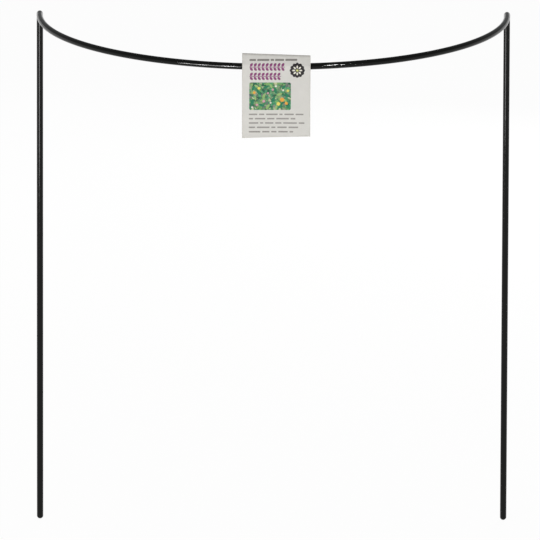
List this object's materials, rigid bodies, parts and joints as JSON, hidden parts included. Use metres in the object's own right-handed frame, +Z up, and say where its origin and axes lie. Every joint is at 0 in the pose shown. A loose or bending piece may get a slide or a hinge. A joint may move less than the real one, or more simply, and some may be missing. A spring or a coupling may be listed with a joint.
{
  "type": "plant support hoop",
  "caption": "Half-ring plant support of black plastic-coated steel wire on straight legs that push into the soil, with a folded card label that slides along the ring.",
  "frame": {"origin": "midway between the two leg tips, at the level of their lowest points", "axes": "+Z up along the legs, the half ring bows forward towards -Y, +X to the right seen from the front"},
  "size_m": [0.4582, 0.2424, 0.52],
  "materials": {
    "steel": "drawn wire, hidden under the plastic",
    "black_plastic": "smooth, half gloss",
    "card": "matt printed card",
    "glue": "dried glue, hidden between the leaves"
  },
  "bodies": {
    "wire": {"steel_core": "steel", "plastic_coat": "black_plastic", "left_tip": "black_plastic", "right_tip": "black_plastic"},
    "label": {"label_card": "card", "label_glue": "glue"}
  },
  "joints": [
    {"name": "label_slide", "type": "hinge", "parent": "wire", "child": "label", "pos_m": [0, -0.0091, 0.5069], "axis": [0, 0, 1], "range_deg": [-80, 79]}
  ]
}
